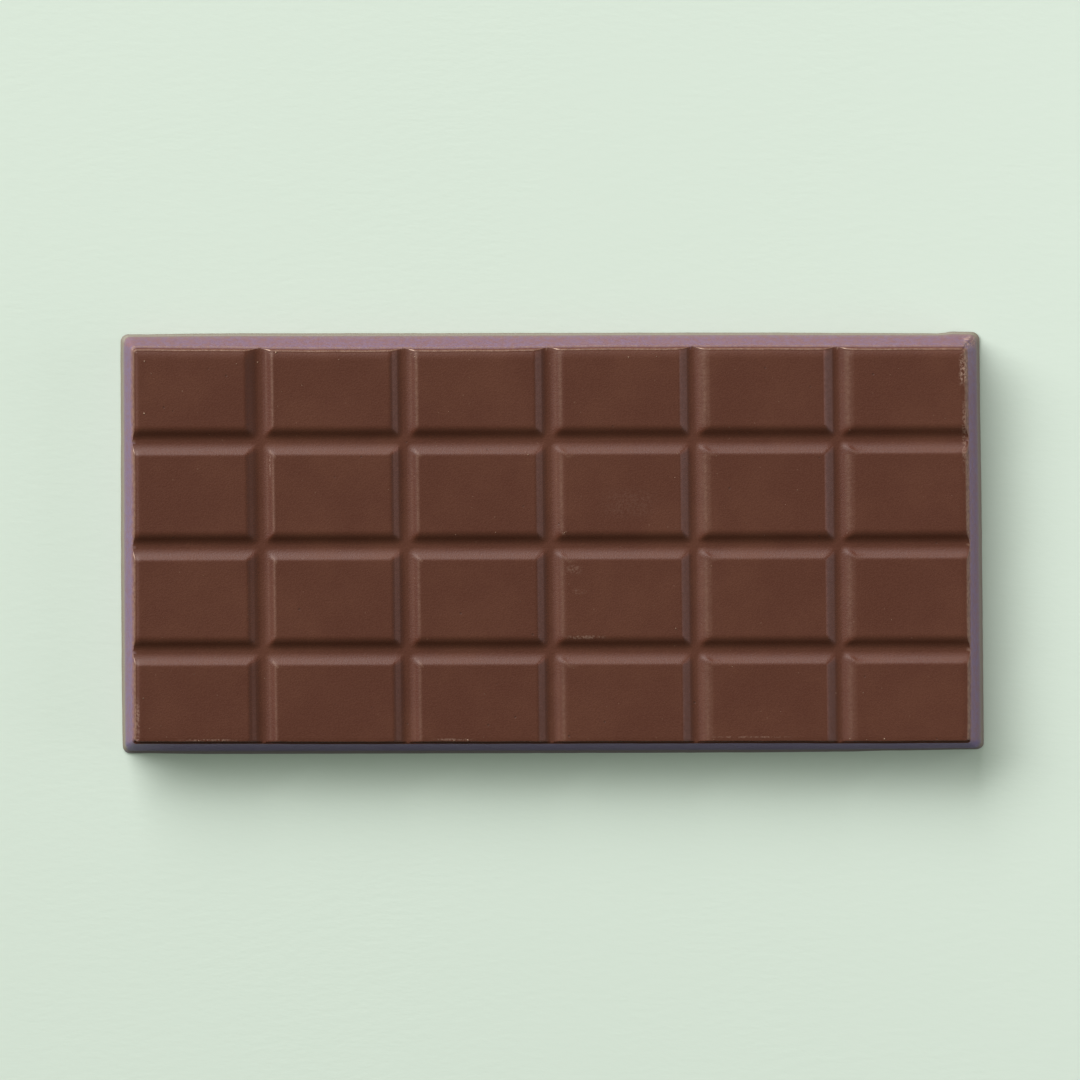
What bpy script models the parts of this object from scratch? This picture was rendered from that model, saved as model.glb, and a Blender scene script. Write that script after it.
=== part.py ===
"""A milk chocolate tablet: one drafted slab whose top is divided into blocks by rounded grooves.

The frame has +X along the bar, +Y across it and +Z up. The origin is at the centre of the flat
back that the bar rests on.
"""

import math

import bmesh
import bpy

OBJECT_NAME = "chocolate_bar"
MM = 0.001

# Driving dimensions, in millimetres.
LENGTH = 155.8
WIDTH = 76.0
THICKNESS = 7.3

COLUMNS = 6
ROWS = 4
COLUMN_PITCH = 25.9
ROW_PITCH = 18.93

GROOVE_DEPTH = 1.05
GROOVE_SLOPE = math.radians(34.0)
SHOULDER_RADIUS = 1.1
FLOOR_RADIUS = 2.4
ARC_STEPS = 5

# The outer wall, as how far each edge of it lies inside the foot of the bar.
FOOT_EDGE_HEIGHT = 0.2
LIP_HEIGHT = 0.45
LIP_TOP_INSET = 0.42
CREASE_INSET = 2.14
LEDGE_WIDTH = 0.15
LEDGE_RISE = 0.05
RIM_INSET = 2.5
RIM_ROUND = 0.5
RIM_STEPS = 3

FOOT_CORNER_RADIUS = 1.5
CREASE_CORNER_RADIUS = 0.8
RIM_CORNER_RADIUS = 0.5
CORNER_STEPS = 5

CUTTER_CLEARANCE = 2.0

MILK_CHOCOLATE = (0.109, 0.044, 0.028, 1.0)
CHOCOLATE_ROUGHNESS = 0.45


def groove_half_width():
    """Width of one side of a groove, from its lowest line out to its shoulder."""
    arcs = (SHOULDER_RADIUS + FLOOR_RADIUS) * math.tan(GROOVE_SLOPE / 2)
    return GROOVE_DEPTH / math.tan(GROOVE_SLOPE) + arcs


def half_groove_section():
    """Points (offset, height) from a groove's lowest line out to its shoulder, block tops at 0."""
    points = []
    for step in range(ARC_STEPS + 1):
        slope = GROOVE_SLOPE * step / ARC_STEPS
        rise = FLOOR_RADIUS * (1 - math.cos(slope))
        points.append((FLOOR_RADIUS * math.sin(slope), rise - GROOVE_DEPTH))
    for step in range(ARC_STEPS + 1):
        slope = GROOVE_SLOPE * (1 - step / ARC_STEPS)
        offset = groove_half_width() - SHOULDER_RADIUS * math.sin(slope)
        points.append((offset, -SHOULDER_RADIUS * (1 - math.cos(slope))))
    return points


def groove_outline():
    """The closed section of a groove's cutter, carried above the block tops."""
    half = half_groove_section()
    half.append((groove_half_width(), CUTTER_CLEARANCE))
    mirrored = [(-offset, height) for offset, height in reversed(half[1:])]
    return mirrored + half


def rounded_rectangle(length, width, radius):
    """Points (x, y) round a rectangle with round corners, counter-clockwise."""
    points = []
    for corner in range(4):
        side_x = 1 if corner in (0, 3) else -1
        side_y = 1 if corner in (0, 1) else -1
        for step in range(CORNER_STEPS + 1):
            angle = math.radians(90) * (corner + step / CORNER_STEPS)
            x = side_x * (length / 2 - radius) + radius * math.cos(angle)
            y = side_y * (width / 2 - radius) + radius * math.sin(angle)
            points.append((x, y))
    return points


def new_collection(name):
    collection = bpy.data.collections.new(name)
    bpy.context.scene.collection.children.link(collection)
    return collection


def new_object(name, bm, collection):
    bmesh.ops.recalc_face_normals(bm, faces=bm.faces)
    mesh = bpy.data.meshes.new(name)
    bm.to_mesh(mesh)
    bm.free()
    obj = bpy.data.objects.new(name, mesh)
    collection.objects.link(obj)
    return obj


def wall_levels():
    """(height, inset, corner radius) of each ring of the outer wall, from the back upwards."""
    crease_height = THICKNESS - GROOVE_DEPTH
    ledge_inset = CREASE_INSET + LEDGE_WIDTH
    levels = [
        (0.0, FOOT_EDGE_HEIGHT, FOOT_CORNER_RADIUS),
        (FOOT_EDGE_HEIGHT, 0.0, FOOT_CORNER_RADIUS),
        (LIP_HEIGHT, LIP_TOP_INSET, FOOT_CORNER_RADIUS),
        (crease_height, CREASE_INSET, CREASE_CORNER_RADIUS),
        (crease_height + LEDGE_RISE, ledge_inset, CREASE_CORNER_RADIUS),
    ]
    for step in range(RIM_STEPS + 1):
        turn = math.radians(90) * step / RIM_STEPS
        height = THICKNESS - RIM_ROUND * (1 - math.sin(turn))
        levels.append((height, RIM_INSET + RIM_ROUND * (1 - math.cos(turn)), RIM_CORNER_RADIUS))
    return levels


def make_slab(collection):
    """The slab before its grooves: rings lofted from the resting edge up to the block tops."""
    bm = bmesh.new()
    rings = []
    for height, inset, radius in wall_levels():
        outline = rounded_rectangle(LENGTH - 2 * inset, WIDTH - 2 * inset, radius)
        ring = [bm.verts.new((x * MM, y * MM, height * MM)) for x, y in outline]
        rings.append([bm.edges.new((a, b)) for a, b in zip(ring, ring[1:] + ring[:1])])
    for lower, upper in zip(rings, rings[1:]):
        bmesh.ops.bridge_loops(bm, edges=lower + upper)
    bmesh.ops.contextual_create(bm, geom=rings[0])
    bmesh.ops.contextual_create(bm, geom=rings[-1])
    return new_object(OBJECT_NAME, bm, collection)


def make_groove_cutter(name, collection, length, along_x, position):
    """A bar with the groove's section, lying along X or Y at a distance from the middle."""
    bm = bmesh.new()
    top = THICKNESS * MM
    end = -length / 2 * MM
    verts = [bm.verts.new((end, offset * MM, top + height * MM)) for offset, height in groove_outline()]
    section = bm.faces.new(verts)
    extruded = bmesh.ops.extrude_face_region(bm, geom=[section])
    moved = [item for item in extruded["geom"] if isinstance(item, bmesh.types.BMVert)]
    bmesh.ops.translate(bm, verts=moved, vec=(length * MM, 0, 0))
    cutter = new_object(name, bm, collection)
    if along_x:
        cutter.location.y = position * MM
    else:
        cutter.rotation_euler.z = math.radians(90)
        cutter.location.x = position * MM
    cutter.hide_render = True
    cutter.display_type = "WIRE"
    return cutter


def groove_positions(block_count, pitch):
    """Where the lines between blocks lie, from the middle of the bar."""
    return [(line - block_count / 2) * pitch for line in range(1, block_count)]


def make_groove_cutters(collection):
    cutters = []
    for number, x in enumerate(groove_positions(COLUMNS, COLUMN_PITCH), start=1):
        name = f"cross_groove_cutter_{number}"
        cutters.append(make_groove_cutter(name, collection, WIDTH + CUTTER_CLEARANCE, False, x))
    for number, y in enumerate(groove_positions(ROWS, ROW_PITCH), start=1):
        name = f"long_groove_cutter_{number}"
        cutters.append(make_groove_cutter(name, collection, LENGTH + CUTTER_CLEARANCE, True, y))
    return cutters


def cut_grooves(slab, cutters):
    for cutter in cutters:
        cut = slab.modifiers.new(cutter.name, "BOOLEAN")
        cut.operation = "DIFFERENCE"
        cut.solver = "EXACT"
        cut.object = cutter


def milk_chocolate():
    """Satin milk chocolate."""
    material = bpy.data.materials.new("milk_chocolate")
    material.use_nodes = True
    shader = material.node_tree.nodes["Principled BSDF"]
    shader.inputs["Base Color"].default_value = MILK_CHOCOLATE
    shader.inputs["Roughness"].default_value = CHOCOLATE_ROUGHNESS
    shader.inputs["Metallic"].default_value = 0.0
    return material


def build():
    for obj in list(bpy.data.objects):
        bpy.data.objects.remove(obj, do_unlink=True)
    bar_collection = new_collection(OBJECT_NAME)
    cutter_collection = new_collection("groove_cutters")
    slab = make_slab(bar_collection)
    slab.data.materials.append(milk_chocolate())
    cut_grooves(slab, make_groove_cutters(cutter_collection))


build()
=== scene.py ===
# %% [markdown]
# # A moulded milk chocolate bar
#
# The real bar is one casting. Melted chocolate is poured into a mould, shaken flat, cooled and
# knocked out, so the patterned side is a crisp copy of the mould and the back is a plain poured
# surface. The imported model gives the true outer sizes. This lesson builds the fine surface that
# takes its place, then the crumbs on it, the finish, the light and the camera.

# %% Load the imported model
import math
import random

import bmesh
import bpy
from mathutils import Matrix, Vector, noise


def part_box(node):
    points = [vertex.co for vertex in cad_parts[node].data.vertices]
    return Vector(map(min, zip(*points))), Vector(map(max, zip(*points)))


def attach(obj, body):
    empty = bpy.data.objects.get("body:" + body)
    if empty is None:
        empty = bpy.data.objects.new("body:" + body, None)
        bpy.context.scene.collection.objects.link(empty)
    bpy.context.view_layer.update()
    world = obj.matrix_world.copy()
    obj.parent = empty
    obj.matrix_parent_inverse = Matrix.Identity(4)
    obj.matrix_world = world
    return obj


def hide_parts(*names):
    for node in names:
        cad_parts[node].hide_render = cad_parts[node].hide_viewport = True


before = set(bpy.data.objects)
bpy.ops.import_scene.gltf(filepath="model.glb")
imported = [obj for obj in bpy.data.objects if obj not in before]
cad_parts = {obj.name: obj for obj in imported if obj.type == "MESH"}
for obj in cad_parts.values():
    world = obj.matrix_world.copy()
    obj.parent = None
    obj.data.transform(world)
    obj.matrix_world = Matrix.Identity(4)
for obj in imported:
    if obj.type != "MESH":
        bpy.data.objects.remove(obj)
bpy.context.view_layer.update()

MM = 0.001
BAR_NODE = "chocolate_bar"
low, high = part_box(BAR_NODE)
LENGTH = (high.x - low.x) / MM
WIDTH = (high.y - low.y) / MM
THICKNESS = (high.z - low.z) / MM
print(f"packed bar: {LENGTH:.1f} x {WIDTH:.1f} x {THICKNESS:.1f} mm")

# %% [markdown]
# ## The sizes of the mould
#
# A mould maker draws a bar from a few numbers: the spacing of the blocks, the section of the
# grooves between them, and how far the side walls lean so that the bar drops out. All of them are
# in millimetres here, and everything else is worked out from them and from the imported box.

# %% Name the driving sizes
COLUMNS, ROWS = 6, 4
COLUMN_PITCH, ROW_PITCH = 25.9, 18.93
PATTERN_SHIFT_X, PATTERN_SHIFT_Y = -0.05, -0.07

GROOVE_DEPTH = 1.05

LIP_HEIGHT = 0.45
LIP_TOP_INSET = 0.42
CREASE_INSET = 2.14
TOP_INSET = 3.0
FOOT_CORNER_RADIUS, CREASE_CORNER_RADIUS, RIM_CORNER_RADIUS = 1.5, 0.8, 0.5

OUT_OF_SQUARE = 0.0073
SQUARE_FROM, SQUARE_TO = 56.0, 75.0

CREASE_HEIGHT = THICKNESS - GROOVE_DEPTH
HALF_LENGTH = LENGTH / 2 - OUT_OF_SQUARE * WIDTH / 2
HALF_WIDTH = WIDTH / 2
GROOVES_X = [(line - COLUMNS / 2) * COLUMN_PITCH + PATTERN_SHIFT_X for line in range(1, COLUMNS)]
GROOVES_Y = [(line - ROWS / 2) * ROW_PITCH + PATTERN_SHIFT_Y for line in range(1, ROWS)]
print(f"grooves {GROOVE_DEPTH:.2f} mm deep, crease at {CREASE_HEIGHT:.2f} mm")

# %% [markdown]
# ## The section of a groove
#
# A groove is a shallow rounded channel. Each side rolls over a shoulder, runs down a straight wall
# and rolls back up into the floor's arc. The wall's slope and the shoulder's radius say how wide
# that side is. Knocking a bar out of its mould and rubbing it in its wrapper never leave two sides
# alike, so each side has its own slope and shoulder, and the cross grooves change along the bar.

# %% Section of one side of a groove


def groove_side(slope_degrees, shoulder_radius, floor_radius):
    """(slope, shoulder radius, floor radius, width) of one side of a groove."""
    slope = math.radians(slope_degrees)
    width = GROOVE_DEPTH / math.tan(slope) + (shoulder_radius + floor_radius) * math.tan(slope / 2)
    return slope, shoulder_radius, floor_radius, width


def section_depth(distance, slope, shoulder_radius, floor_radius, width):
    """Depth below the block tops at a distance in from the shoulder."""
    distance = min(max(distance, 0.0), width)
    if distance < shoulder_radius * math.sin(slope):
        return shoulder_radius - math.sqrt(shoulder_radius ** 2 - distance ** 2)
    if distance < width - floor_radius * math.sin(slope):
        wall_start = shoulder_radius * math.sin(slope)
        return shoulder_radius * (1 - math.cos(slope)) + (distance - wall_start) * math.tan(slope)
    return GROOVE_DEPTH - floor_radius + math.sqrt(floor_radius ** 2 - (width - distance) ** 2)


def blend(first, second, share):
    return [a + (b - a) * share for a, b in zip(first, second)]


UPPER_SIDES = [groove_side(slope, 2.3, 2.2) for slope in (40.0, 37.3, 34.0)]
LOWER_SIDE = groove_side(37.5, 0.8, 2.85)
LEFT_SIDES = [groove_side(25.5, 1.0, 2.4), groove_side(27.5, 1.2, 2.25), groove_side(28.5, 1.1, 2.1),
              groove_side(30.5, 0.5, 1.95), groove_side(32.0, 0.4, 1.8)]
RIGHT_SIDES = [groove_side(33.0, 0.45, 2.4), groove_side(33.0, 1.6, 2.25), groove_side(32.0, 2.9, 2.1),
               groove_side(30.5, 3.7, 1.95), groove_side(29.0, 4.3, 1.8)]
print(f"the middle groove is {UPPER_SIDES[1][3] + LOWER_SIDE[3]:.2f} mm wide")

# %% [markdown]
# ## Where two grooves cross
#
# The walls meet in mitred hips. Sharp mitres would look machined, so the distance into a crossing
# is a superellipse of the two distances, which rounds the corner of each block a little.

# %% Height of the patterned side
CORNER_SOFTNESS = 0.7
CORNER_POWER = 6.0
BLOCK_SWELL = 0.02
# Each FACETS row is the pale blush of the flat left of one cross groove: inner and outer distance from the
# centre line, share at the back, share at the front and extra share near the flat's outer edge. It is partly
# a paler finish and partly a painted reflection of the side card on the right, so it grows towards the
# right.
FACETS = [
    (1.45, 2.1, 0.0, 0.15, 0.0),
    (1.15, 2.1, 0.29, 0.15, 0.0),
    (1.13, 2.4, 0.26, 0.17, 0.0),
    (0.95, 2.4, 0.27, 0.17, 0.1),
    (0.7, 2.3, 0.26, 0.1, 0.18),
]
FACET_EDGE = 0.6
# Painted highlights on the right side of each cross groove, which faces the key light, one list per groove
# of (distance from the centre line, reach, strength).
RIDGE_HIGHLIGHTS = [
    [(1.13, 0.25, 0.1), (2.2, 0.3, 0.2)],
    [(1.23, 0.25, 0.09), (2.27, 0.35, 0.2)],
    [(1.28, 0.35, 0.08), (2.15, 0.5, 0.16)],
    [(1.4, 0.45, 0.08), (2.15, 0.6, 0.17), (2.9, 0.45, 0.08)],
    [(1.95, 0.85, 0.14), (2.9, 0.4, 0.04)],
]
# Painted highlight on the lower side of each long groove, which faces the key light, as (distance from the
# centre line, reach, strength).
LONG_RIDGE_HIGHLIGHT = (1.9, 0.6, 0.035)
# Painted highlight on the hips of the blocks' upper left corners, which face the key light, one strength for
# each cross groove.
HIP_HIGHLIGHT = [0.3, 0.25, 0.15, 0.1, 0.1]


def cross_side(x):
    """(distance from the nearest cross groove's centre line, that side's section)."""
    number, line = min(enumerate(GROOVES_X), key=lambda item: abs(x - item[1]))
    return abs(x - line), (LEFT_SIDES if x < line else RIGHT_SIDES)[number]


def long_side(y):
    """(distance from the nearest long groove's centre line, that side's section)."""
    number, line = min(enumerate(GROOVES_Y), key=lambda item: abs(y - item[1]))
    return abs(y - line), UPPER_SIDES[number] if y > line else LOWER_SIDE


def into_groove(distance, section):
    """How far a place lies past the softened corner line of a groove."""
    return max(0.0, section[3] + CORNER_SOFTNESS - distance)


def roll_off(x, y):
    """The block tops dip towards the bar's outer rim, more at the back and left than in front."""
    drop = 0.0
    for to_rim, width, depth in (
        (HALF_WIDTH - TOP_INSET - y, 1.4, 0.22),
        (HALF_LENGTH - TOP_INSET + x, 0.7, 0.22),
        (HALF_LENGTH - TOP_INSET - x, 0.9, 0.1),
        (HALF_WIDTH - TOP_INSET + y, 0.4, 0.02),
    ):
        drop = max(drop, depth * max(0.0, 1 - to_rim / width) ** 2)
    return drop


def facet_blush_and_reflection(x, y):
    """Pale blush of the flat of the wall left of a cross groove, mitred at the long grooves: partly a paler
    finish, partly a painted reflection of the side card on the right.
    """
    number, line = min(enumerate(GROOVES_X), key=lambda item: abs(x - item[1]))
    inner, outer, back_share, front_share, edge_share = FACETS[number]
    from_cross, cross_section = cross_side(x)
    from_long, long_section = long_side(y)
    mitred = into_groove(from_cross, cross_section) > into_groove(from_long, long_section)
    if x > line or not inner < from_cross < outer or not mitred:
        return 0.0
    blush_and_reflection = back_share + (front_share - back_share) * (0.5 - 0.5 * y / HALF_WIDTH)
    return blush_and_reflection + edge_share * max(0.0, 1 - (outer - from_cross) / FACET_EDGE)


def shoulder_highlight(x, y):
    """Painted highlight along the lit side of a groove, and on the hips of the blocks' upper left corners,
    which face the key light.
    """
    number, line = min(enumerate(GROOVES_X), key=lambda item: abs(x - item[1]))
    from_cross, cross_section = cross_side(x)
    from_long, long_section = long_side(y)
    ridges = sum(strength * max(0.0, 1 - abs(x - line - ridge) / reach)
                 for ridge, reach, strength in RIDGE_HIGHLIGHTS[number])
    ridges *= min(1.0, max(0.0, from_long - long_section[3] + CORNER_SOFTNESS)) * (1 + 0.25 * y / HALF_WIDTH)
    across, along = into_groove(from_cross, cross_section), into_groove(from_long, long_section)
    on_hip = x > line and long_section is LOWER_SIDE and 0.4 < across < 1.6
    hip = HIP_HIGHLIGHT[number] * max(0.0, 1 - abs(across - along) / 0.35) if on_hip else 0.0
    position, reach, strength = LONG_RIDGE_HIGHLIGHT
    long_ridge = strength * max(0.0, 1 - abs(from_long - position) / reach) if along > across else 0.0
    if long_section is not LOWER_SIDE:
        long_ridge = 0.0
    return max(ridges, hip, long_ridge)


def top_height(x, y):
    from_cross, cross_section = cross_side(x)
    from_long, long_section = long_side(y)
    across = into_groove(from_cross, cross_section) ** CORNER_POWER
    along = into_groove(from_long, long_section) ** CORNER_POWER
    distance = (across + along) ** (1 / CORNER_POWER) - CORNER_SOFTNESS
    section = blend(cross_section, long_section, along / max(across + along, 1e-9))
    swell = BLOCK_SWELL * (1 + noise.noise(Vector((x, y, 0.0)) * 0.13))
    depth = section_depth(distance, *section)
    rolled = roll_off(x, y) * max(0.0, 1 - depth / GROOVE_DEPTH) ** 2
    return max(CREASE_HEIGHT, THICKNESS - depth - rolled - swell)


# %% [markdown]
# ## A lattice that is fine where the shape is fine
#
# The patterned side starts as a plain grid. Its lines are then moved: close together across every
# groove and near the rim, farther apart over the flat block tops.

# %% Choose the lattice lines
GROOVE_REACH = 3.3
GROOVE_STEPS = 30
BLOCK_STEPS = 11
RIM_REACH, RIM_STEPS = 3.2, 7
CORNER_PATCH, CORNER_STEPS = 0.6, 5


def lattice_lines(grooves, half_size):
    """Sorted positions of the grid lines from one rim to the other."""
    spans = [(-half_size, -half_size + CORNER_PATCH, CORNER_STEPS),
             (-half_size + CORNER_PATCH, -half_size + RIM_REACH, RIM_STEPS)]
    start = -half_size + RIM_REACH
    for line in grooves:
        spans.append((start, line - GROOVE_REACH, BLOCK_STEPS))
        spans.append((line - GROOVE_REACH, line + GROOVE_REACH, GROOVE_STEPS))
        start = line + GROOVE_REACH
    spans.append((start, half_size - RIM_REACH, BLOCK_STEPS))
    spans.append((half_size - RIM_REACH, half_size - CORNER_PATCH, RIM_STEPS))
    spans.append((half_size - CORNER_PATCH, half_size, CORNER_STEPS))
    lines = [-half_size]
    for begin, end, steps in spans:
        lines += [begin + (end - begin) * step / steps for step in range(1, steps + 1)]
    return lines


LINES_X = lattice_lines(GROOVES_X, HALF_LENGTH - TOP_INSET)
LINES_Y = lattice_lines(GROOVES_Y, HALF_WIDTH - TOP_INSET)
print(f"lattice: {len(LINES_X)} x {len(LINES_Y)} lines")

# %% [markdown]
# ## Round corners on a square lattice
#
# The last few lines at each corner bend into an arc. The mapping used keeps the lattice square
# where it joins the straight sides and turns its outermost corner into the middle of the arc.

# %% Place a lattice point on the plan of the bar


def plan_point(x, y, inset, corner_radius):
    """Moves a point of the top lattice onto the rounded outline that lies inset from the foot."""
    half_x, half_y = HALF_LENGTH - inset, HALF_WIDTH - inset
    top_x, top_y = HALF_LENGTH - TOP_INSET, HALF_WIDTH - TOP_INSET
    u = (abs(x) - top_x + CORNER_PATCH) / CORNER_PATCH
    v = (abs(y) - top_y + CORNER_PATCH) / CORNER_PATCH
    new_x, new_y = abs(x), abs(y)
    if u > 0 and v > 0:
        new_x = half_x - corner_radius + corner_radius * u * math.sqrt(1 - v * v / 2)
        new_y = half_y - corner_radius + corner_radius * v * math.sqrt(1 - u * u / 2)
    elif u > 1 - 1e-4:
        new_x = half_x
    elif v > 1 - 1e-4:
        new_y = half_y
    return math.copysign(new_x, x), math.copysign(new_y, y)


# %% [markdown]
# ## The outer wall as a stack of rings
#
# Below the rim the wall drops steeply beside the blocks to a crease level with the groove floors,
# then leans out down the slab to a thin lip at the foot. Each ring is the open edge of the mesh
# extruded once and moved, so the grooves run out through the wall on their own. A ring also
# carries what the finish will show there: the share of pale haze, of painted highlight and of the
# floor's reflection painted on the lip. The four sides left the mould differently, so each has its
# own shape, and its painted highlights follow how the light falls on that side: the front, which
# faces away from the key light, has none. The front keeps a fine notch under its blocks, and haze
# runs right down over its lip. A thin line of painted highlight follows the round of the rim, and
# it is strongest where the rim dips into a groove on a corner that faces the key light.

# %% Work out one point of each ring
# Share of the rim's painted highlight at each angle round the rim.
RIM_HIGHLIGHT_SHARES = {0: 0.0, 25: 1.0, 50: 0.8, 75: 0.3, 90: 0.0}
BLOCK_WALL_SHARES = [0.4, 0.8, 1.0]
SLAB_WALL_SHARES = [0.0, 0.05, 0.2, 0.4, 0.6, 0.8, 0.95, 1.0]
LIP_POINTS = [(0.4, 0.17), (0.31, 0.04), (0.21, 0.0), (0.13, 0.05), (0.07, 0.2), (0.0, 0.5)]
# Share of the lip's painted floor reflection on the lowest slab wall rings.
LIP_REACH = {0.8: 0.3, 0.95: 1.0}
NOTCH_FROM = 0.3
# In each side's look, rim, wall and ledge set the painted highlight on the rim, block wall and ledge, and
# lip sets the painted reflection of the floor on the lip. The front faces away from the key light and gets
# no painted highlight.
SIDE_LOOKS = {
    "back": {"ledge_width": 0.28, "lean": 0.38, "round": 0.29, "rim": 0.45, "wall": 0.08, "notch": 0.05,
             "ledge": 0.42, "ledge_haze": 0.35, "lip": 0.9, "lip_reach": 0.35, "lip_haze": 0.0},
    "front": {"ledge_width": 0.36, "lean": 0.08, "round": 0.15, "rim": 0.0, "wall": 0.0, "notch": 0.55,
              "ledge": 0.0, "ledge_haze": 0.0, "lip": 0.6, "lip_reach": 0.5, "lip_haze": 0.85},
    "left": {"ledge_width": 0.25, "lean": 0.38, "round": 0.33, "rim": 0.17, "wall": 0.42, "notch": 0.0,
             "ledge": 0.35, "ledge_haze": 0.7, "lip": 0.9, "lip_reach": 0.9, "lip_haze": 0.0},
    "right": {"ledge_width": 0.15, "lean": 0.38, "round": 0.5, "rim": 0.4, "wall": 0.45, "notch": 0.0,
              "ledge": 0.4, "ledge_haze": 0.5, "lip": 0.7, "lip_reach": 0.9, "lip_haze": 0.3},
}
# Painted highlight where the rim dips into a groove on a corner that faces the key light.
HOOK_HIGHLIGHT = 1.0


def side_of(x, y):
    """Which outer side a point of the lattice's edge belongs to."""
    if HALF_WIDTH - abs(y) < HALF_LENGTH - abs(x):
        return "back" if y > 0 else "front"
    return "left" if x < 0 else "right"


def wall_inset(height, look):
    """Inset of the wall's plane beside the blocks."""
    return CREASE_INSET + look["ledge_width"] + max(height - CREASE_HEIGHT, 0.0) * look["lean"]


def rim_highlight(x, y, top):
    """Painted highlight along the rim, set per side, and strongest where it dips into a groove on a block's
    upper left corner, which faces the key light.
    """
    side = side_of(x, y)
    cross_line = min(GROOVES_X, key=lambda line: abs(x - line))
    long_line = min(GROOVES_Y, key=lambda line: abs(y - line))
    faces_key_light = x > cross_line if side == "back" else y < long_line and side == "left"
    share = min(max((top - CREASE_HEIGHT) / (GROOVE_DEPTH * 0.9), 0.0), 1.0)
    hook = HOOK_HIGHLIGHT * math.sin(math.pi * share ** 0.7) if faces_key_light else 0.0
    return max(SIDE_LOOKS[side]["rim"], hook)


def rim_and_block_wall(x, y, top, look):
    """Rings from the round of the rim down to the crease."""
    drop = max(top - CREASE_HEIGHT, 0.0)
    radius = min(look["round"], 0.5 * drop)
    shoulder_end = top - radius
    rings = []
    for angle, share in RIM_HIGHLIGHT_SHARES.items():
        turn = math.radians(angle)
        inset = wall_inset(shoulder_end, look) + radius * (1 - math.sin(turn))
        # painted highlight along the round of the rim and down the block wall
        painted_highlight = max(share * rim_highlight(x, y, top), look["wall"] * math.sin(turn))
        rings.append((inset, shoulder_end + radius * math.cos(turn), 0.0, painted_highlight, 0.0))
    notch = look["notch"] * min(1.0, drop / NOTCH_FROM)
    for share in BLOCK_WALL_SHARES:
        height = shoulder_end + (CREASE_HEIGHT - notch - shoulder_end) * share
        haze = look["ledge_haze"] * share ** 2
        rings.append((wall_inset(height, look), height, haze, look["wall"], 0.0))
    return rings


def slab_wall_and_lip(look):
    """Rings from the crease down to the back."""
    rings = [(CREASE_INSET, CREASE_HEIGHT, min(1.0, 2 * look["ledge_haze"]), look["ledge"], 0.0)]
    for share in SLAB_WALL_SHARES[1:]:
        height = CREASE_HEIGHT + (LIP_HEIGHT - CREASE_HEIGHT) * share
        inset = CREASE_INSET + (LIP_TOP_INSET - CREASE_INSET) * share
        haze = look["lip_haze"] if share == 1.0 else 1.0
        # the lip share paints the floor's reflection on the lip and a little way up the slab wall
        lip = 1.0 if share == 1.0 else look["lip_reach"] * LIP_REACH.get(share, 0.0)
        rings.append((inset, height, haze, 0.0, look["lip"] * lip))
    for height, inset in LIP_POINTS:
        # the painted floor reflection fades out towards the floor, leaving the foot dark as painted contact
        # shade
        lip = look["lip"] * max(0.0, 2.6 * height - 0.1)
        rings.append((inset, height, look["lip_haze"], 0.0, lip))
    return rings


def wall_rings(x, y, top):
    """(inset, height, haze, painted highlight, painted floor reflection on the lip) of every ring below a
    point of the lattice's edge.
    """
    look = SIDE_LOOKS[side_of(x, y)]
    return rim_and_block_wall(x, y, top, look) + slab_wall_and_lip(look)


def corner_radius_at(height):
    """The bar's corners are almost sharp at the rim and rounder down at the foot."""
    if height > CREASE_HEIGHT:
        share = (height - CREASE_HEIGHT) / (THICKNESS - CREASE_HEIGHT)
        return CREASE_CORNER_RADIUS + (RIM_CORNER_RADIUS - CREASE_CORNER_RADIUS) * share
    share = height / CREASE_HEIGHT
    return FOOT_CORNER_RADIUS + (CREASE_CORNER_RADIUS - FOOT_CORNER_RADIUS) * share


RING_COUNT = len(wall_rings(0.0, HALF_WIDTH, THICKNESS))
print(f"{RING_COUNT} rings in the outer wall")

# %% [markdown]
# ## The uneven edges
#
# The foot is where the liquid met the mould's edge, so it wanders by a few tenths of a millimetre,
# with a little flash left standing at one corner. The crease below the blocks wanders too.

# %% Draw in the foot and the crease
BACK_EDGE = [
    (-77, 0.15, -0.16), (-58, 0.0, -0.03), (-39, 0.04, 0.17), (-13, 0.09, 0.16), (12, 0.12, -0.05),
    (39, 0.17, -0.01), (55, 0.3, 0.08), (70.6, 0.4, 0.1), (72.4, 0.1, 0.1), (78, 0.15, 0.1),
]
FRONT_EDGE = [
    (-77, 0.2, 0.28), (-60, 0.0, 0.23), (-39, 0.0, 0.13), (10, 0.0, 0.1), (38, 0.05, 0.08),
    (52, 0.15, 0.02), (61, 0.34, 0.0), (78, 0.55, 0.06),
]
LEFT_EDGE = [
    (-38, 0.2, 0.1), (-25, 0.05, 0.1), (0, 0.0, 0.08), (10, 0.02, 0.13), (20, 0.06, 0.06),
    (38, 0.05, 0.04),
]
RIGHT_EDGE = [(-38, 0.0, 0.2), (-20, 0.0, 0.08), (5, 0.0, 0.02), (28, 0.12, 0.08), (38, 0.12, 0.2)]
FOOT_WEAR_HEIGHT = 2.2


def along_edge(points, position):
    """Smooth (foot, crease) values at a position between listed points."""
    for (start, *first), (end, *second) in zip(points, points[1:]):
        if position <= end:
            share = min(max((position - start) / (end - start), 0.0), 1.0)
            return blend(first, second, share * share * (3 - 2 * share))
    return points[-1][1:]


def near_side(distance, half_size, sharpness):
    """One at a side of the bar and beyond, falling to zero inside it."""
    return min(max(distance / half_size, 0.0), 1.0) ** sharpness


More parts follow.
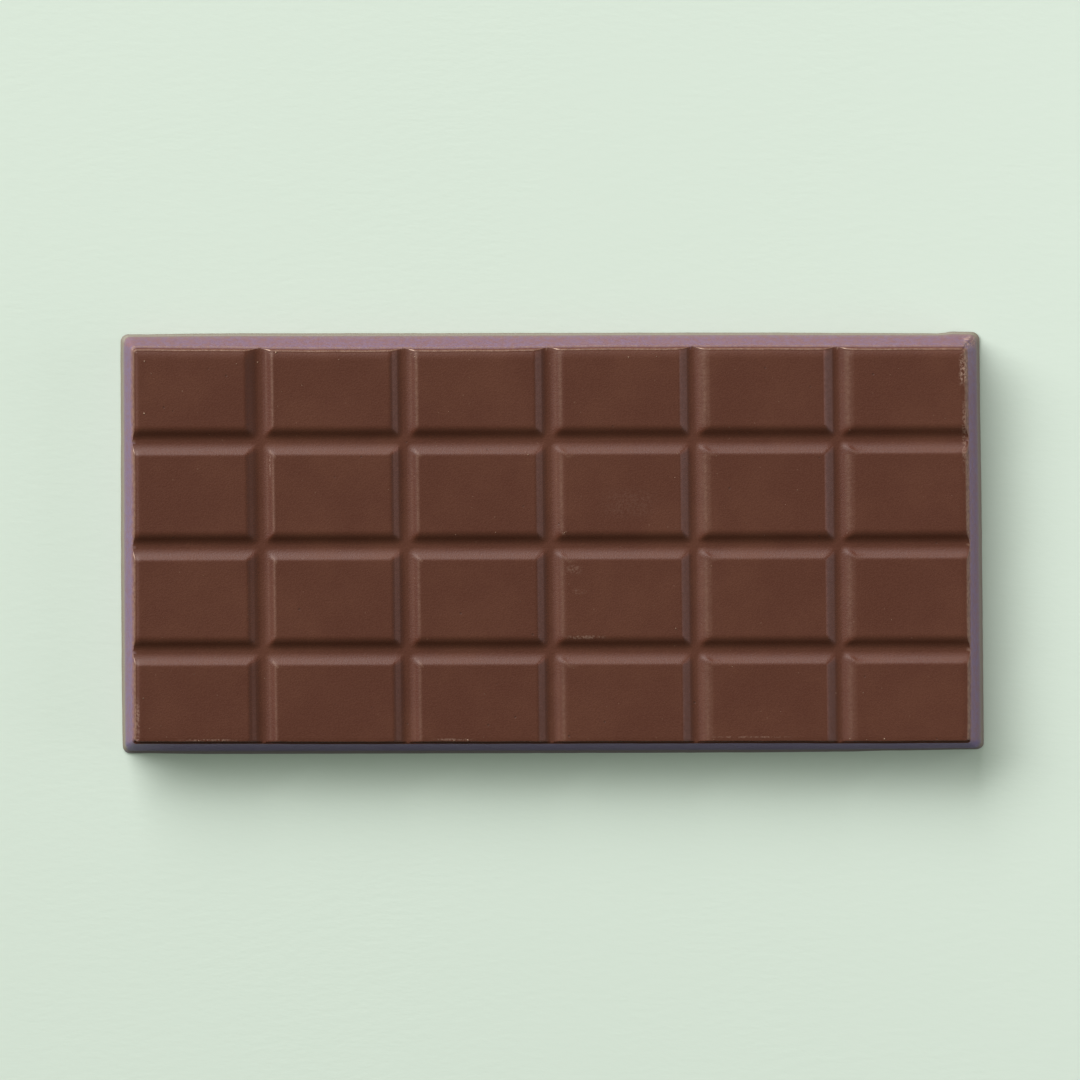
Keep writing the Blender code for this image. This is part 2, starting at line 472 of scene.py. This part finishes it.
def edge_offset(x, y, height):
    """How far the outline is drawn in at a point of the bar, as (along X, along Y)."""
    foot_share = max(0.0, 1 - height / FOOT_WEAR_HEIGHT)
    crease_share = min(1.0, height / CREASE_HEIGHT)
    ripple = 0.035 * (noise.noise(Vector((x, y, 0.0)) * 0.35) + 1)
    wander = 0.05 * noise.noise(Vector((x, y, 16.0)) * 0.3)
    pulls = []
    for points, along, across, half_size, inset_at in (
        (BACK_EDGE, x, y, HALF_WIDTH, 20), (FRONT_EDGE, x, -y, HALF_WIDTH, 20),
        (LEFT_EDGE, y, -x, HALF_LENGTH, 40), (RIGHT_EDGE, y, x, HALF_LENGTH, 40),
    ):
        foot, crease = along_edge(points, along)
        foot_pull = (foot + ripple) * foot_share * near_side(across, half_size, inset_at)
        crease_pull = (crease + wander) * crease_share * near_side(across, half_size - TOP_INSET, inset_at)
        pulls.append(foot_pull + crease_pull)
    back, front, left, right = pulls
    return left - right, front - back


# %% [markdown]
# ## Dents and the poured back
#
# One corner of the bar has been knocked: it is crushed into small facets. Cell noise pushes the
# corner's vertices in by uneven steps, which looks like broken chocolate. The back is the surface
# that set in the open air. It is flat enough to rest on, yet it sinks between ripples.

# %% Knock the corner and ripple the back
KNOCKED_CORNER = Vector((75.6, 36.2, 4.5))
KNOCK_REACH = 3.4
KNOCK_DEPTH = 0.55
BACK_SINK = 0.16
BACK_MARGIN = 4.0


def knock(place_mm):
    """Offset of a point near the knocked corner."""
    reach = max(0.0, 1 - (place_mm - KNOCKED_CORNER).length / KNOCK_REACH)
    push = noise.cell(place_mm * 1.9) * 0.7 + noise.noise(place_mm * 1.3) * 0.4 + 0.3
    inwards = Vector((-0.7, -0.6, -0.35))
    return inwards * max(0.0, push) * KNOCK_DEPTH * reach ** 0.7


def back_height(x, y):
    """Height of the underside: zero at its edge, rippled and sunk a little inside."""
    to_edge = min(HALF_LENGTH - abs(x), HALF_WIDTH - abs(y)) - TOP_INSET
    share = min(max(to_edge / BACK_MARGIN, 0.0), 1.0)
    swirl = noise.noise(Vector((x * 0.05 + 0.6 * math.sin(y * 0.12), y * 0.16, 3.0)))
    grain = noise.noise(Vector((x, y, 9.0)) * 0.9)
    return BACK_SINK * share * (0.5 + 0.42 * swirl + 0.08 * grain)


# %% [markdown]
# ## Grow the surface
#
# create_grid makes the patterned side, extrude_edge_only grows the rings down the wall, and a
# second grid closes the back. Float layers on the vertices remember the lattice place, the height
# of the rim above each ring and the haze, so every new ring can be placed from its own vertices.

# %% Make the bar


def place(vert, x, y, height):
    """Puts a vertex at a place in millimetres, leaning the plan a hair out of square."""
    pull_x, pull_y = edge_offset(x, y, height)
    x, y = x + pull_x, y + pull_y
    square = min(max((-x - SQUARE_FROM) / (SQUARE_TO - SQUARE_FROM), 0.0), 1.0)
    spot = Vector((x - OUT_OF_SQUARE * y + square * (1.3 * OUT_OF_SQUARE * y + 0.13), y, height))
    vert.co = (spot + knock(spot)) * MM


def make_lattice(bm, layers, height_at, inset, corner_radius):
    """A grid on the lattice lines, its outermost line on the outline at the inset."""
    columns, rows = len(LINES_X) - 1, len(LINES_Y) - 1
    grid = bmesh.ops.create_grid(bm, x_segments=columns, y_segments=rows, size=1.0)
    for vert in grid["verts"]:
        x = LINES_X[round((vert.co.x + 1) / 2 * columns)]
        y = LINES_Y[round((vert.co.y + 1) / 2 * rows)]
        vert[layers["x"]], vert[layers["y"]], vert[layers["top"]] = x, y, height_at(x, y)
        if height_at is top_height:
            # the flats' blush with its painted reflection, and the painted highlights on the lit shoulders
            vert[layers["blush_and_reflection"]] = facet_blush_and_reflection(x, y)
            vert[layers["painted_highlight"]] = shoulder_highlight(x, y)
        plan_x, plan_y = plan_point(x, y, inset, corner_radius)
        place(vert, plan_x, plan_y, vert[layers["top"]])
    return {edge for vert in grid["verts"] for edge in vert.link_edges if edge.is_boundary}


def grow_wall(bm, layers, open_edges):
    """Extrudes the open edge once for each ring and moves the new vertices into place."""
    for ring in range(RING_COUNT):
        grown = bmesh.ops.extrude_edge_only(bm, edges=list(open_edges))["geom"]
        open_edges = [item for item in grown if isinstance(item, bmesh.types.BMEdge) and item.is_boundary]
        for vert in {vert for edge in open_edges for vert in edge.verts}:
            x, y = vert[layers["x"]], vert[layers["y"]]
            inset, height, haze, painted_highlight, lip = wall_rings(x, y, vert[layers["top"]])[ring]
            vert[layers["haze"]], vert[layers["painted_highlight"]], vert[layers["lip"]] = haze, painted_highlight, lip
            vert[layers["blush_and_reflection"]] = 0.0
            plan_x, plan_y = plan_point(x, y, inset, corner_radius_at(height))
            place(vert, plan_x, plan_y, height)


def make_bar():
    bm = bmesh.new()
    names = ("x", "y", "top", "haze", "blush_and_reflection", "painted_highlight", "lip")
    layers = {name: bm.verts.layers.float.new(name) for name in names}
    open_edges = make_lattice(bm, layers, top_height, TOP_INSET, RIM_CORNER_RADIUS)
    grow_wall(bm, layers, open_edges)
    make_lattice(bm, layers, back_height, LIP_POINTS[-1][1], FOOT_CORNER_RADIUS)
    bmesh.ops.remove_doubles(bm, verts=bm.verts, dist=0.001 * MM)
    bmesh.ops.recalc_face_normals(bm, faces=bm.faces)
    mesh = bpy.data.meshes.new("moulded_bar")
    for name in ("x", "y", "top"):
        bm.verts.layers.float.remove(bm.verts.layers.float[name])
    bm.to_mesh(mesh)
    bm.free()
    mesh.shade_smooth()
    bar = bpy.data.objects.new("moulded_bar", mesh)
    bpy.context.scene.collection.objects.link(bar)
    return bar


bar = make_bar()
bar.data.calc_loop_triangles()
print(f"bar: {len(bar.data.vertices)} vertices, {len(bar.data.loop_triangles)} triangles")

# %% [markdown]
# ## Crumbs
#
# Every bar carries a few grains rubbed off its own edges. Each is a tiny ball pulled out of shape
# and pressed a third of the way into the surface, and all of them are joined in one mesh. The
# larger grains sit at chosen places along the rims, the rest are scattered with a fixed seed.

# %% Scatter the crumbs
CRUMB_SIZE = 0.095
LARGE_CRUMBS = [
    (-71.9, 34.8), (-72.5, 33.4), (-56.0, 32.9), (-48.9, 34.9), (-52.2, 33.1), (-37.6, 33.6),
    (-24.6, 34.5), (-24.0, 34.0), (14.4, 33.9), (19.5, 34.0), (-3.8, 16.4), (23.0, 16.5),
    (-17.0, 2.0), (-9.8, 2.4), (2.6, 2.3), (22.4, -15.0), (53.1, -16.5), (-72.7, 24.0),
    (-73.5, -27.3), (-71.1, -35.1), (-63.6, -35.0), (-59.4, -35.0), (29.0, -35.0),
    (53.5, -35.0), (56.5, -35.1), (59.7, -35.0), (-20.4, -35.0), (-17.7, -35.1), (-15.2, -35.0),
]
SCATTERED_CRUMBS = 90


def add_crumb(bm, picks, x, y, size):
    ball = bmesh.ops.create_icosphere(bm, subdivisions=1, radius=size * MM)["verts"]
    stretch = Vector((picks.uniform(0.7, 1.3), picks.uniform(0.7, 1.3), picks.uniform(0.5, 0.8)))
    bmesh.ops.scale(bm, vec=stretch, verts=ball)
    for vert in ball:
        vert.co *= 1 + 0.35 * noise.noise(vert.co * 9000 + Vector((x, y, 0.0)))
    turn = Matrix.Rotation(picks.uniform(0, math.tau), 3, "Z")
    bmesh.ops.rotate(bm, matrix=turn, verts=ball)
    spot = Vector((x - OUT_OF_SQUARE * y, y, top_height(x, y) + size * 0.2)) * MM
    bmesh.ops.translate(bm, vec=spot, verts=ball)


def make_crumbs():
    picks = random.Random(4)
    bm = bmesh.new()
    for x, y in LARGE_CRUMBS:
        add_crumb(bm, picks, x, y, CRUMB_SIZE * picks.uniform(0.9, 1.5))
    for _ in range(SCATTERED_CRUMBS):
        x = picks.uniform(-1, 1) * (HALF_LENGTH - TOP_INSET - 0.3)
        y = picks.uniform(-1, 1) * (HALF_WIDTH - TOP_INSET - 0.3)
        add_crumb(bm, picks, x, y, CRUMB_SIZE * picks.uniform(0.35, 0.75))
    mesh = bpy.data.meshes.new("crumbs")
    bm.to_mesh(mesh)
    bm.free()
    crumbs = bpy.data.objects.new("crumbs", mesh)
    bpy.context.scene.collection.objects.link(crumbs)
    return crumbs


crumbs = make_crumbs()
print(f"crumbs: {len(LARGE_CRUMBS) + SCATTERED_CRUMBS}")

# %% [markdown]
# ## Shader maths as Python
#
# A finish is easier to read as a formula than as a drawing of nodes. A Wire is a socket that adds
# Math nodes when it is used in a sum, and a Sheet adds every other node to one node tree.

# %% Wires and sheets


class Wire:
    """A socket that can be used in sums."""

    def __init__(self, sheet, socket):
        self.sheet, self.socket = sheet, socket

    def __add__(self, other):
        return self.sheet.math("ADD", self, other)

    def __sub__(self, other):
        return self.sheet.math("SUBTRACT", self, other)

    def __rsub__(self, other):
        return self.sheet.math("SUBTRACT", other, self)

    def __mul__(self, other):
        return self.sheet.math("MULTIPLY", self, other)

    __radd__, __rmul__ = __add__, __mul__


class Sheet:
    """Adds nodes to one node tree."""

    def __init__(self, tree):
        self.tree = tree

    def node(self, kind, settings, inputs, output=0):
        """Makes a node: its settings first, then a value or a link for each socket."""
        node = self.tree.nodes.new("ShaderNode" + kind)
        for name, value in settings.items():
            setattr(node, name, value)
        for name, value in inputs.items():
            if isinstance(value, Wire):
                self.tree.links.new(value.socket, node.inputs[name])
            else:
                node.inputs[name].default_value = value
        return Wire(self, node.outputs[output])

    def math(self, operation, *values):
        return self.node("Math", {"operation": operation}, dict(enumerate(values)))

    def smooth_step(self, value, start, end):
        """Rises from 0 to 1 as the value goes from start to end."""
        limits = {"Value": value, "From Min": start, "From Max": end}
        return self.node("MapRange", {"interpolation_type": "SMOOTHSTEP"}, limits)

    def mix(self, share, first, second):
        """Colour that goes from first to second as the share goes from 0 to 1."""
        return self.node("Mix", {"data_type": "RGBA"}, {0: share, 6: first, 7: second}, output=2)

    def grains(self, place, scale, detail=2.0, roughness=0.5):
        """Noise from 0 to 1 with about scale grains in a metre."""
        settings = {"Vector": place, "Scale": scale, "Detail": detail, "Roughness": roughness}
        return self.node("TexNoise", {}, settings)

    def finish(self, **inputs):
        """Feeds the Principled shader, with underscores for the spaces in socket names."""
        shader = self.tree.nodes["Principled BSDF"]
        for name, value in inputs.items():
            socket = shader.inputs[name.replace("_", " ")]
            if isinstance(value, Wire):
                self.tree.links.new(value.socket, socket)
            else:
                socket.default_value = value


def new_finish(name):
    material = bpy.data.materials.new(name)
    material.use_nodes = True
    return material, Sheet(material.node_tree)


# %% [markdown]
# ## Milk chocolate
#
# Set chocolate is a dense brown with a soft, waxy shine. Up close it is never flat: it is clouded
# where it cooled unevenly, peppered with fine grain, and dotted with pale specks and pinholes from
# air and rubbing. The shine is broad, so roughness is high and a fine bump breaks it up. The colour
# also carries painted light: shade in the pinholes, highlights where edges catch the light, cooler
# and darker haze on the walls away from the key light, a paler finish with the side card's
# reflection on the flats of the cross grooves, and the floor's reflection on the lip.

# %% Chocolate colours
CHOCOLATE = (0.0745, 0.0105, 0.0001, 1)
CHOCOLATE_CLOUDED = (0.0985, 0.0215, 0.0048, 1)
# painted shade inside the pinholes
PINHOLE_SHADE = (0.05, 0.012, 0.004, 1)
# pale rubbed specks, and the painted highlights along the edges that catch the light
RUB_AND_HIGHLIGHT = (0.3, 0.17, 0.115, 1)
# the rubbed places, and the brightest painted highlights
BARE_RUB_AND_HIGHLIGHT = (0.55, 0.36, 0.28, 1)
# the flats left of the cross grooves: a paler finish with a painted reflection of the side card
BLUSH_AND_REFLECTION = (0.28, 0.13, 0.115, 1)
# painted reflection of the pale floor on the lip
LIP_FLOOR_REFLECTION = (0.25, 0.225, 0.17, 1)
# Bloom haze on the walls. HAZE_WARM is its tint on the back wall, which faces the key light; HAZE_COOL, its
# tint on the other walls, is painted cooler light, and random streaks mix the two.
HAZE_WARM = (0.182, 0.08, 0.095, 1)
HAZE_COOL = (0.165, 0.1, 0.19, 1)
# darker, bluer haze for the front wall and lip: painted shade on the side that faces away from the key light
HAZE_FRONT_SHADE = (0.108, 0.066, 0.175, 1)

# %% [markdown]
# ## Rubbed and frosted places
#
# Most of the bar is clean, but a few places are rubbed pale: the edge beside the knocked corner, a
# streak and a smear on one block. Each is a soft box in plan, broken up by noise. They are
# listed as centre, half size and strength.

# %% Mask of the rubbed places
RUBBED_PLACES = [
    (74.3, 31.6, 1.0, 3.6, 0.7),
    (75.4, 36.2, 1.6, 1.4, 0.7),
    (74.4, 20.0, 0.5, 8.0, 0.35),
    (6.2, -16.5, 4.4, 0.45, 0.3),
    (4.2, -4.3, 1.7, 1.1, 0.15),
    (5.1, -8.3, 1.4, 0.6, 0.15),
    (2.6, 2.3, 0.6, 0.5, 0.35),
    (14.2, 7.5, 6.5, 3.5, 0.045),
    (-50.3, 15.0, 0.25, 3.0, 0.3),
    (-74.4, -31.0, 0.6, 4.5, 0.3),
    (-17.6, -34.9, 4.5, 0.25, 0.3),
    (36.0, -34.6, 9.0, 0.2, 0.25),
    (-61.5, -34.9, 6.5, 0.25, 0.3),
]


def soft_box(sheet, x, y, centre_x, centre_y, half_x, half_y):
    """One inside a box in plan, fading to zero at its edge. Lengths are in metres."""
    near_x = sheet.smooth_step(sheet.math("ABSOLUTE", x - centre_x), half_x, half_x * 0.3)
    near_y = sheet.smooth_step(sheet.math("ABSOLUTE", y - centre_y), half_y, half_y * 0.3)
    return near_x * near_y


def rubbed_mask(sheet, place, x, y):
    total = 0.0
    for centre_x, centre_y, half_x, half_y, strength in RUBBED_PLACES:
        box = soft_box(sheet, x, y, centre_x * MM, centre_y * MM, half_x * MM, half_y * MM)
        total = box * strength + total
    broken = sheet.smooth_step(sheet.grains(place, 2300.0, 3.0, 0.6), 0.42, 0.62)
    return sheet.math("MINIMUM", total * broken, 1.0)


def dots(sheet, place, scale, size, share):
    """Small round dots in a random share of the cells of a Voronoi pattern."""
    cells = {"Vector": place, "Scale": scale}
    distance = sheet.node("TexVoronoi", {}, cells)
    colour = sheet.node("TexVoronoi", {}, cells, output=1)
    pick = sheet.node("SeparateColor", {}, {0: colour})
    near = sheet.smooth_step(distance, size, size * 0.4)
    return near * sheet.math("LESS_THAN", pick, share)


# %% Mix the chocolate


def milk_chocolate():
    material, sheet = new_finish("milk_chocolate_finish")
    place = sheet.node("TexCoord", {}, {}, output=3)
    x = sheet.node("SeparateXYZ", {}, {0: place}, output=0)
    y = sheet.node("SeparateXYZ", {}, {0: place}, output=1)
    haze, blush_and_reflection, painted_highlight, lip = [sheet.node("Attribute", {"attribute_name": name}, {}, output=2)
                              for name in ("haze", "blush_and_reflection", "painted_highlight", "lip")]

    clouds = sheet.smooth_step(sheet.grains(place, 90.0, 3.0, 0.6), 0.35, 0.75)
    pepper = sheet.smooth_step(sheet.grains(place, 3400.0, 2.0, 0.7), 0.3, 0.7)
    speckle = dots(sheet, place, 900.0, 0.16, 0.05)
    pinholes = dots(sheet, place, 620.0, 0.17, 0.035)
    rubbed = rubbed_mask(sheet, place, x, y)

    brown = sheet.mix(clouds * 0.5 + pepper * 0.5, CHOCOLATE, CHOCOLATE_CLOUDED)
    # pinholes painted darker: painted shade in the small holes, with a bump that dents them
    brown = sheet.mix(pinholes * 0.6, brown, PINHOLE_SHADE)
    brown = sheet.mix(speckle * 0.22, brown, RUB_AND_HIGHLIGHT)
    streaks = sheet.smooth_step(sheet.grains(place, 1000.0, 3.0, 0.7), 0.38, 0.62)
    # the walls other than the back get the cooler haze: painted cooler light away from the key light
    cool_light_off_back = sheet.smooth_step(y, 0.0362, 0.0352)
    veil = sheet.mix(0.02 + 0.55 * streaks + 0.43 * cool_light_off_back, HAZE_WARM, HAZE_COOL)
    # the front wall gets a darker, bluer haze: painted shade on the side away from the key light
    veil = sheet.mix(sheet.smooth_step(y, -0.0352, -0.0362), veil, HAZE_FRONT_SHADE)
    veil_share = haze * (0.8 + 0.25 * pepper)
    colour = sheet.mix(veil_share, brown, veil)
    patchiness = sheet.smooth_step(sheet.grains(place, 1300.0, 3.0, 0.6), 0.35, 0.65)
    # blush of the flats, partly a painted reflection of the side card
    colour = sheet.mix(blush_and_reflection * (0.8 + 0.4 * patchiness), colour, BLUSH_AND_REFLECTION)
    # painted highlights on the lit shoulders, hips, rims, block walls and ledges, made patchy by noise
    highlight_share = sheet.math("MINIMUM", painted_highlight * (0.6 + 0.8 * patchiness), 1.0)
    highlight_colour = sheet.mix(sheet.smooth_step(painted_highlight, 0.4, 0.9), RUB_AND_HIGHLIGHT, BARE_RUB_AND_HIGHLIGHT)
    colour = sheet.mix(highlight_share, colour, highlight_colour)
    # painted reflection of the floor on the lip
    colour = sheet.mix(lip, colour, LIP_FLOOR_REFLECTION)
    colour = sheet.mix(rubbed * 0.75, colour, BARE_RUB_AND_HIGHLIGHT)

    roughness = 0.52 + clouds * 0.05 + pepper * 0.06 + rubbed * 0.2
    relief = pepper * 0.5 + clouds * 0.4 - pinholes * 1.2 + rubbed * 0.8
    bumps = {"Height": relief, "Distance": 0.03 * MM, "Strength": 0.9}
    normal = sheet.node("Bump", {}, bumps)
    sheet.finish(Base_Color=colour, Roughness=roughness, Normal=normal, IOR=1.53)
    return material


def rubbed_crumb():
    material, sheet = new_finish("crumb_finish")
    place = sheet.node("TexCoord", {}, {}, output=3)
    shade = sheet.smooth_step(sheet.grains(place, 900.0), 0.35, 0.65)
    colour = sheet.mix(shade, (0.17, 0.08, 0.045, 1), (0.36, 0.22, 0.15, 1))
    normal = sheet.node("Bump", {}, {"Height": shade, "Distance": 0.02 * MM, "Strength": 0.6})
    sheet.finish(Base_Color=colour, Roughness=0.6, Normal=normal, IOR=1.54)
    return material


bar.data.materials.append(milk_chocolate())
crumbs.data.materials.append(rubbed_crumb())
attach(bar, "root")
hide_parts(BAR_NODE)
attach(crumbs, "root")
print("finishes:", [material.name for material in bpy.data.materials if material.name.endswith("_finish")])

# %% [markdown]
# ## The floor
#
# A sheet of pale paper, large enough to fill any view. Its tooth is a fine bump of slanting ribs,
# too weak to compete with the bar.

# %% Lay the floor
PAPER = (0.682, 0.757, 0.682, 1)


def make_floor():
    bm = bmesh.new()
    bmesh.ops.create_grid(bm, x_segments=1, y_segments=1, size=1.5)
    mesh = bpy.data.meshes.new("pale_floor")
    bm.to_mesh(mesh)
    bm.free()
    floor = bpy.data.objects.new("pale_floor", mesh)
    bpy.context.scene.collection.objects.link(floor)
    material, sheet = new_finish("pale_paper")
    place = sheet.node("TexCoord", {}, {}, output=3)
    slant = (0.0, 0.0, math.radians(-38.0))
    turned = sheet.node("Mapping", {}, {"Vector": place, "Rotation": slant, "Scale": (0.35, 1.0, 1.0)})
    tooth = sheet.grains(turned, 900.0, 2.0, 0.6)
    normal = sheet.node("Bump", {}, {"Height": tooth, "Distance": 0.05 * MM, "Strength": 0.5})
    sheet.finish(Base_Color=PAPER, Roughness=0.85, Normal=normal, Specular_IOR_Level=0.2)
    floor.data.materials.append(material)
    return floor


make_floor()

# %% [markdown]
# ## Light
#
# A wide, low soft box beyond the upper left corner models the grooves: it rakes over the bar, so
# walls that face it glow and walls that face away go dark, and its width softens the shadow. A
# small cool card on the right fills the walls that face it. The room is dim, darkest near the
# floor, so the shaded walls stay deep.

# %% Place the lights


def soft_box_light(name, azimuth, elevation, distance, width, height, power, colour):
    """A soft box that faces the bar. Azimuth turns from +Y towards +X."""
    data = bpy.data.lights.new(name, "AREA")
    data.shape = "RECTANGLE"
    data.size = width
    data.size_y = height
    data.energy = power
    data.color = colour
    light = bpy.data.objects.new(name, data)
    turn, rise = math.radians(azimuth), math.radians(elevation)
    towards = Vector((math.sin(turn) * math.cos(rise), math.cos(turn) * math.cos(rise), math.sin(rise)))
    light.location = towards * distance
    light.rotation_euler = towards.to_track_quat("Z", "Y").to_euler()
    bpy.context.scene.collection.objects.link(light)


def dim_room(zenith, horizon):
    """World light that falls from the zenith's strength to the horizon's."""
    world = bpy.data.worlds.new("studio")
    world.use_nodes = True
    sheet = Sheet(world.node_tree)
    direction = sheet.node("TexCoord", {}, {}, output=0)
    up = sheet.math("MAXIMUM", sheet.node("SeparateXYZ", {}, {0: direction}, output=2), 0.0)
    background = world.node_tree.nodes["Background"]
    background.inputs["Color"].default_value = (0.94, 1.08, 0.88, 1)
    world.node_tree.links.new((up * (zenith - horizon) + horizon).socket, background.inputs["Strength"])
    bpy.context.scene.world = world


soft_box_light("key_window", -38.5, 27.0, 3.0, 3.9, 1.4, 173.0, (1.0, 1.0, 1.0))
soft_box_light("side_card", 90.0, 15.0, 0.4, 0.4, 0.2, 0.48, (0.98, 0.95, 1.02))
dim_room(0.38, 0.03)
bpy.context.scene.view_settings.view_transform = "Standard"

# %% [markdown]
# ## Camera
#
# The bar is seen from almost straight above with a long lens, leaning a little towards its front,
# so that more of the far wall shows than of the near one.

# %% Place the camera
CAMERA_DISTANCE = 3.0
FIELD_WIDTH = 0.1945
TILT_BACK = math.radians(3.9)
TILT_RIGHT = math.radians(1.0)
ROLL = math.radians(0.23)
AIM = Vector((-0.00196, 0.00052, 0.0))

camera_data = bpy.data.cameras.new("camera")
camera_data.sensor_width = 36.0
camera_data.lens = camera_data.sensor_width * CAMERA_DISTANCE / FIELD_WIDTH
camera = bpy.data.objects.new("camera", camera_data)
bpy.context.scene.collection.objects.link(camera)
camera.rotation_euler = (-TILT_BACK, TILT_RIGHT, -ROLL)
away = camera.rotation_euler.to_matrix() @ Vector((0.0, 0.0, 1.0))
camera.location = AIM + away * CAMERA_DISTANCE
bpy.context.scene.camera = camera
